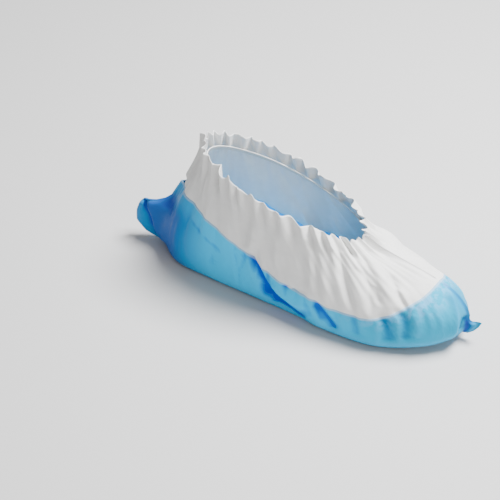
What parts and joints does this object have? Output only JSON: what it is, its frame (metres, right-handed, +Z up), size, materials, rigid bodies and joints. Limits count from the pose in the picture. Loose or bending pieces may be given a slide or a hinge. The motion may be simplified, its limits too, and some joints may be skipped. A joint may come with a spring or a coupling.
{
  "type": "shoe cover",
  "caption": "Disposable overshoe: glossy film sole and lower walls, nonwoven upper gathered by an elastic mouth, welded seams and film ears at toe and heel.",
  "frame": {"origin": "middle of the cover's box, on the floor that its sole stands on", "axes": "+X from heel to toe, +Y to the outer side, +Z up"},
  "size_m": [0.35, 0.1118, 0.1383],
  "materials": {
    "film": "glossy pale blue embossed polyethylene film, slightly translucent",
    "nonwoven": "matt white spunbond nonwoven with fine point bonding",
    "elastic": "matt off-white elastic tape"
  },
  "bodies": {
    "root": {"sole_film": "film", "toe_ear": "film", "heel_ear": "film", "upper": "nonwoven", "toe_weld": "nonwoven", "heel_weld": "nonwoven", "elastic_band": "elastic"}
  },
  "joints": []
}
